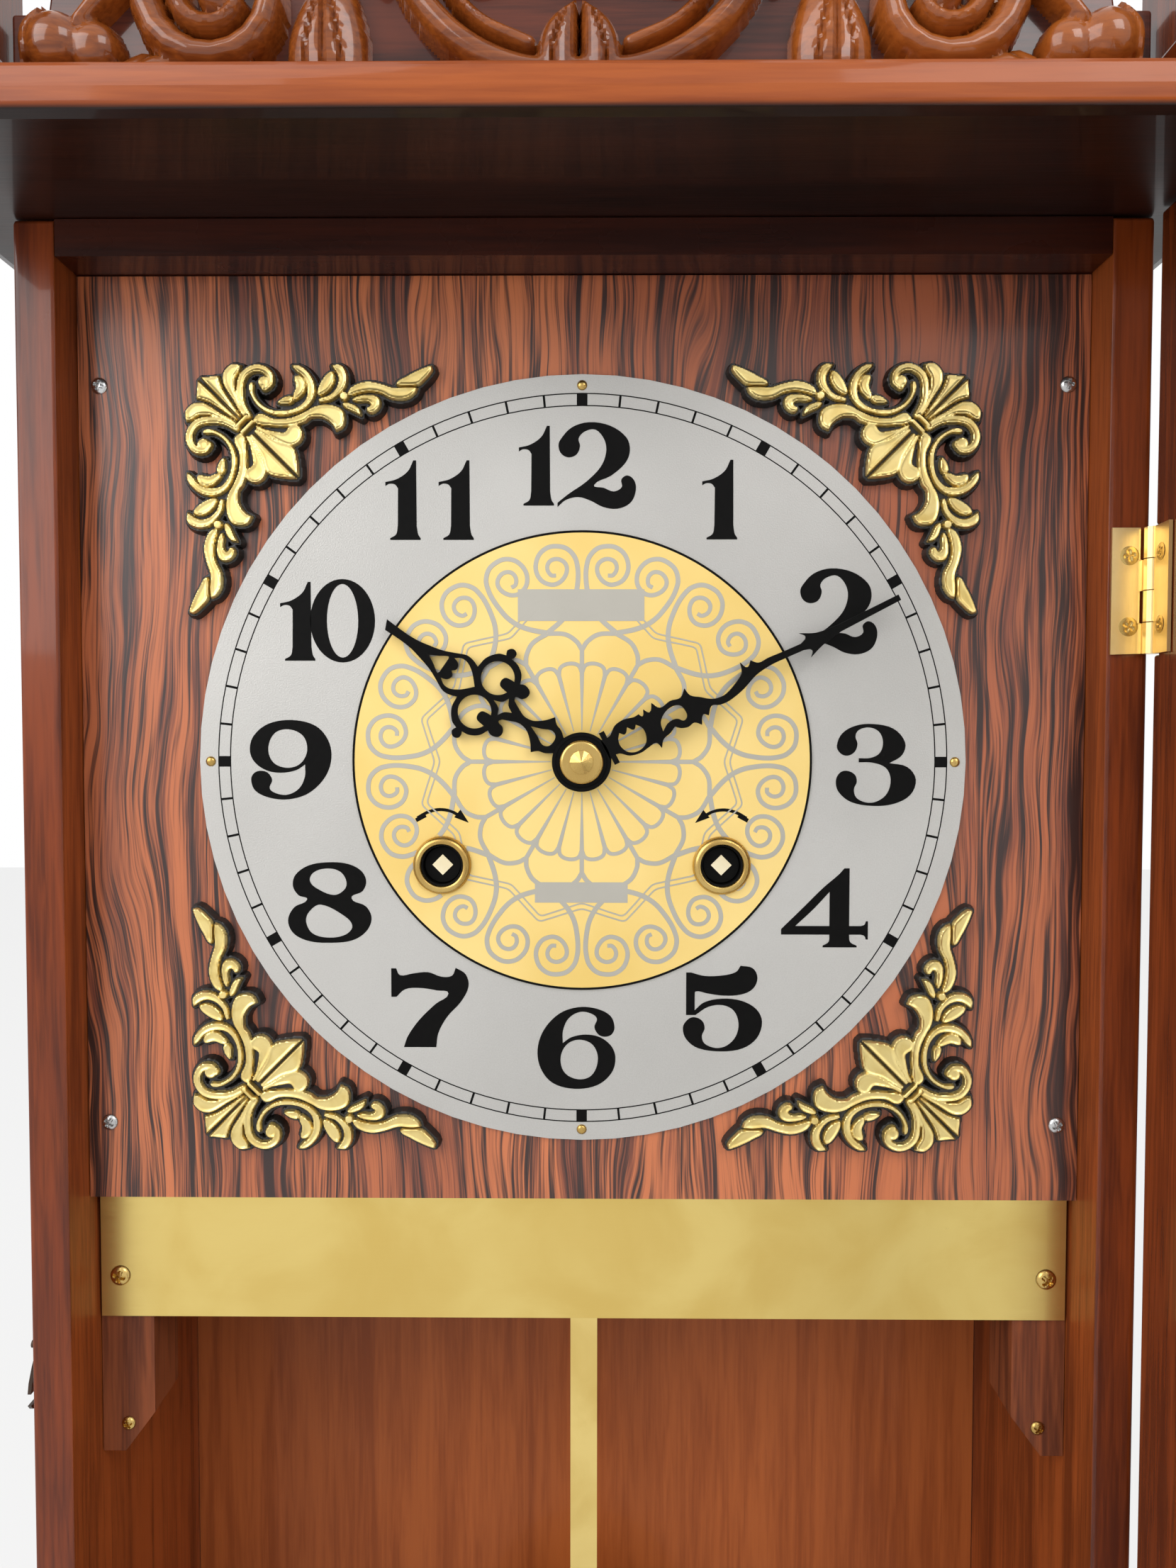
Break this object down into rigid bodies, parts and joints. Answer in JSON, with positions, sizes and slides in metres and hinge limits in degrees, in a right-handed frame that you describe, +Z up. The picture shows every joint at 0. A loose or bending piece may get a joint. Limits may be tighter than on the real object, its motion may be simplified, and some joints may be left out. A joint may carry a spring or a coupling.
{
  "type": "pendulum wall clock",
  "caption": "Wooden wall clock with a hinged glazed door, round dial, key-wound going train, strike hammer with coil gong and a long swinging pendulum.",
  "frame": {"origin": "on the back face of the case, in its middle, at the height of the dial's centre", "axes": "+Z up, -Y out of the dial towards the viewer, +X to the viewer's right; the back of the case lies in the plane y = 0"},
  "size_m": [0.35, 0.4268, 0.7424],
  "materials": {
    "red_brown_lacquer": "gloss lacquer",
    "orange_brown_wood": "satin lacquer",
    "plain_brown_wood": "matt",
    "dark_veined_laminate": "satin",
    "brass": "satin",
    "steel": "satin",
    "spring_steel": "oiled",
    "silver_dial": "fine texture",
    "gold_foil": "satin gold print",
    "gilt_plastic": "gilt",
    "black_paint": "satin black",
    "dark_bronze": "dark bronze",
    "clear_glass": "clear"
  },
  "bodies": {
    "case": {"back_panel": "plain_brown_wood", "side_board_left": "red_brown_lacquer", "side_board_right": "red_brown_lacquer", "top_board": "red_brown_lacquer", "cornice": "orange_brown_wood", "base_moulding": "orange_brown_wood", "apron": "red_brown_lacquer", "crest_board": "red_brown_lacquer", "crest_carving": "red_brown_lacquer", "crest_post_left": "red_brown_lacquer", "crest_post_right": "red_brown_lacquer", "batten_left": "plain_brown_wood", "batten_right": "plain_brown_wood", "hanger_plate": "steel", "dial_panel": "dark_veined_laminate", "dial": "silver_dial", "dial_centre_disc": "gold_foil", "winding_grommet_left": "brass", "winding_grommet_right": "brass", "movement_seat_plate": "brass", "ornament_upper_left": "gilt_plastic", "ornament_upper_right": "gilt_plastic", "ornament_lower_left": "gilt_plastic", "ornament_lower_right": "gilt_plastic", "movement_front_plate": "brass", "movement_back_plate": "brass", "time_mainspring": "spring_steel", "strike_mainspring": "spring_steel", "coil_gong": "spring_steel", "gong_stand": "dark_bronze", "hinge_upper_case_leaf": "brass", "hinge_lower_case_leaf": "brass"},
    "door": {"door_stile_hinge": "red_brown_lacquer", "door_stile_latch": "red_brown_lacquer", "door_rail_top": "red_brown_lacquer", "door_rail_bottom": "red_brown_lacquer", "door_glass": "clear_glass", "hinge_upper_door_leaf": "brass", "hinge_lower_door_leaf": "brass", "latch_pin": "brass"},
    "hook": {"latch_hook": "dark_bronze"},
    "time_great": {"time_great_wheel": "brass"},
    "time_winder": {"time_winding_arbor": "steel"},
    "strike_great": {"strike_great_wheel": "brass"},
    "strike_winder": {"strike_winding_arbor": "steel"},
    "intermediate": {"intermediate_wheel": "brass"},
    "minute": {"centre_wheel": "brass", "cannon_pinion": "brass", "minute_hand": "black_paint", "hand_nut": "brass"},
    "hour": {"hour_wheel": "brass", "hour_hand": "black_paint"},
    "minute_reduction": {"minute_wheel": "brass"},
    "third": {"third_wheel": "brass"},
    "escape": {"escape_wheel": "brass"},
    "anchor_body": {"anchor": "steel"},
    "pendulum": {"pendulum_rod": "brass", "pendulum_bob": "brass"},
    "rating": {"rating_nut": "brass"},
    "strike_hammer": {"hammer": "steel"}
  },
  "joints": [
    {"name": "door_hinge", "type": "hinge", "parent": "case", "child": "door", "pos_m": [0.1554, -0.1103, -0.13], "axis": [0, 0, 1], "range_deg": [-90, 75]},
    {"name": "hook_swing", "type": "hinge", "parent": "case", "child": "hook", "pos_m": [-0.1557, -0.0995, -0.169], "axis": [-1, 0, 0], "range_deg": [-60, 95]},
    {"name": "minute_hand_turn", "type": "hinge", "parent": "case", "child": "minute", "pos_m": [0, -0.061, 0], "axis": [0, 1, 0], "continuous": true},
    {"name": "hour_hand_turn", "type": "hinge", "parent": "case", "child": "hour", "pos_m": [0, -0.085, 0], "axis": [0, 1, 0], "continuous": true},
    {"name": "minute_wheel_turn", "type": "hinge", "parent": "case", "child": "minute_reduction", "pos_m": [0, -0.084, -0.0144], "axis": [0, 1, 0], "continuous": true},
    {"name": "intermediate_turn", "type": "hinge", "parent": "case", "child": "intermediate", "pos_m": [0.02711, -0.061, 0.01137], "axis": [0, 1, 0], "continuous": true},
    {"name": "time_great_turn", "type": "hinge", "parent": "case", "child": "time_great", "pos_m": [0.0402, -0.061, -0.0298], "axis": [0, 1, 0], "continuous": true},
    {"name": "time_winding", "type": "hinge", "parent": "time_great", "child": "time_winder", "pos_m": [0.0402, -0.061, -0.0298], "axis": [0, 1, 0], "continuous": true},
    {"name": "third_turn", "type": "hinge", "parent": "case", "child": "third", "pos_m": [-0.01221, -0.061, 0.01843], "axis": [0, 1, 0], "continuous": true},
    {"name": "escape_turn", "type": "hinge", "parent": "case", "child": "escape", "pos_m": [0, -0.061, 0.0344], "axis": [0, 1, 0], "continuous": true},
    {"name": "strike_great_turn", "type": "hinge", "parent": "case", "child": "strike_great", "pos_m": [-0.0402, -0.061, -0.0298], "axis": [0, 1, 0], "continuous": true},
    {"name": "strike_winding", "type": "hinge", "parent": "strike_great", "child": "strike_winder", "pos_m": [-0.0402, -0.061, -0.0298], "axis": [0, 1, 0], "continuous": true},
    {"name": "pendulum_swing", "type": "hinge", "parent": "case", "child": "pendulum", "pos_m": [0, -0.034, 0.0526], "axis": [0, 1, 0], "range_deg": [-4, 4]},
    {"name": "anchor_rock", "type": "hinge", "parent": "case", "child": "anchor_body", "pos_m": [0, -0.061, 0.0526], "axis": [0, 1, 0], "range_deg": [-4, 4]},
    {"name": "rating_nut_turn", "type": "hinge", "parent": "pendulum", "child": "rating", "pos_m": [0, -0.034, -0.38], "axis": [0, 0, 1], "continuous": true},
    {"name": "hammer_strike", "type": "hinge", "parent": "case", "child": "strike_hammer", "pos_m": [-0.017, -0.03, -0.0645], "axis": [0, 1, 0], "range_deg": [-14, 0], "stiffness_Nm_per_rad": 0.02}
  ],
  "couplings": [
    {"joint": "intermediate_turn", "follows": "minute_hand_turn", "ratio": -0.16667},
    {"joint": "time_great_turn", "follows": "minute_hand_turn", "ratio": 0.02381},
    {"joint": "third_turn", "follows": "minute_hand_turn", "ratio": -10},
    {"joint": "escape_turn", "follows": "minute_hand_turn", "ratio": 90},
    {"joint": "minute_wheel_turn", "follows": "minute_hand_turn", "ratio": -0.33333},
    {"joint": "hour_hand_turn", "follows": "minute_hand_turn", "ratio": 0.083333},
    {"joint": "anchor_rock", "follows": "pendulum_swing", "ratio": 1}
  ]
}
